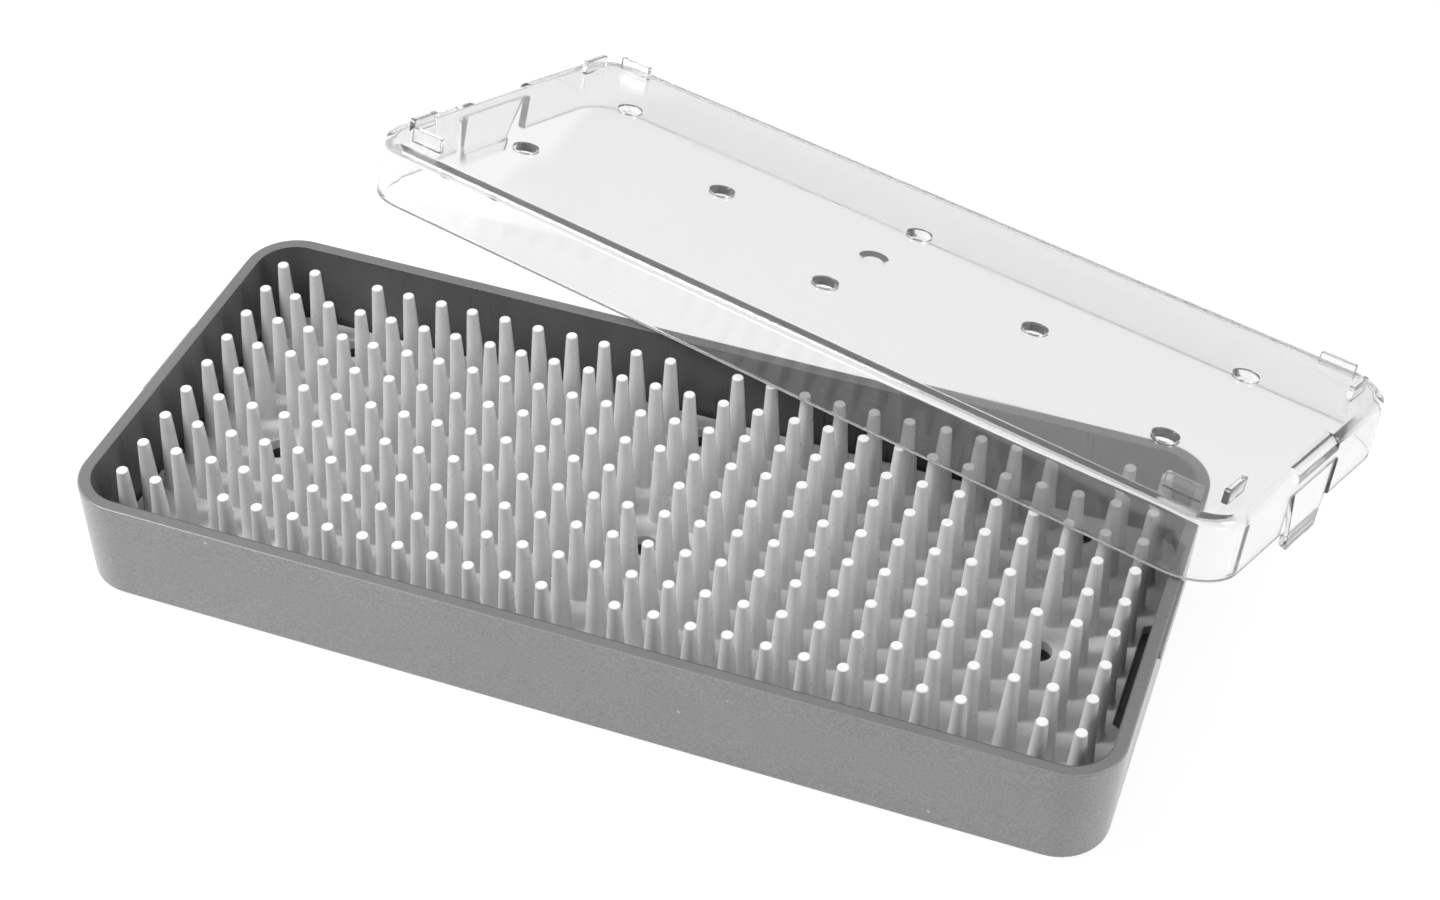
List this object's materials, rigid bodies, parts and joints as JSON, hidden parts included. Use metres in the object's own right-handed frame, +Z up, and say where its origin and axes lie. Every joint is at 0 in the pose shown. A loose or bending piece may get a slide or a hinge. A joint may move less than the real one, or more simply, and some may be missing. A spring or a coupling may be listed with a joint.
{
  "type": "dental instrument cassette",
  "caption": "Shallow moulded tray with drain holes, a silicone finger mat inside it, and a clear vented lid with spring latch tongues leaning on the mat.",
  "frame": {"origin": "middle of the tray's underside, on the surface that the tray stands on", "axes": "+Z up out of the open tray, +X along the tray's long side, +Y across it towards the lid that leans behind"},
  "size_m": [0.2191, 0.1784, 0.0367],
  "materials": {
    "tray_plastic": "fine grained matt moulding with a satin inside",
    "mat_silicone": "satin silicone rubber, whiter at the cut finger tips",
    "lid_clear": "clear, smooth and glossy"
  },
  "bodies": {
    "tray": {"tray": "tray_plastic", "mat_sheet": "mat_silicone", "finger_row_1": "mat_silicone", "finger_row_2": "mat_silicone", "finger_row_3": "mat_silicone", "finger_row_4": "mat_silicone", "finger_row_5": "mat_silicone", "finger_row_6": "mat_silicone", "finger_row_7": "mat_silicone", "finger_row_8": "mat_silicone", "finger_row_9": "mat_silicone"},
    "lid": {"lid_shell": "lid_clear", "stacking_lugs": "lid_clear"},
    "latch_right": {"latch_tongue_right": "lid_clear"},
    "latch_left": {"latch_tongue_left": "lid_clear"}
  },
  "joints": [
    {"name": "lid_lift", "type": "slide", "parent": "tray", "child": "lid", "axis": [0, 0, 1], "range_m": [0, 0.06]},
    {"name": "latch_right_flex", "type": "hinge", "parent": "lid", "child": "latch_right", "pos_m": [0.11277, 0.04679, 0.0191], "axis": [-0.2631, -0.9254, 0.2729], "range_deg": [0, 4], "stiffness_Nm_per_rad": 4},
    {"name": "latch_left_flex", "type": "hinge", "parent": "lid", "child": "latch_left", "pos_m": [-0.07269, 0.09951, 0.0191], "axis": [0.2631, 0.9254, -0.2729], "range_deg": [0, 4], "stiffness_Nm_per_rad": 4}
  ]
}
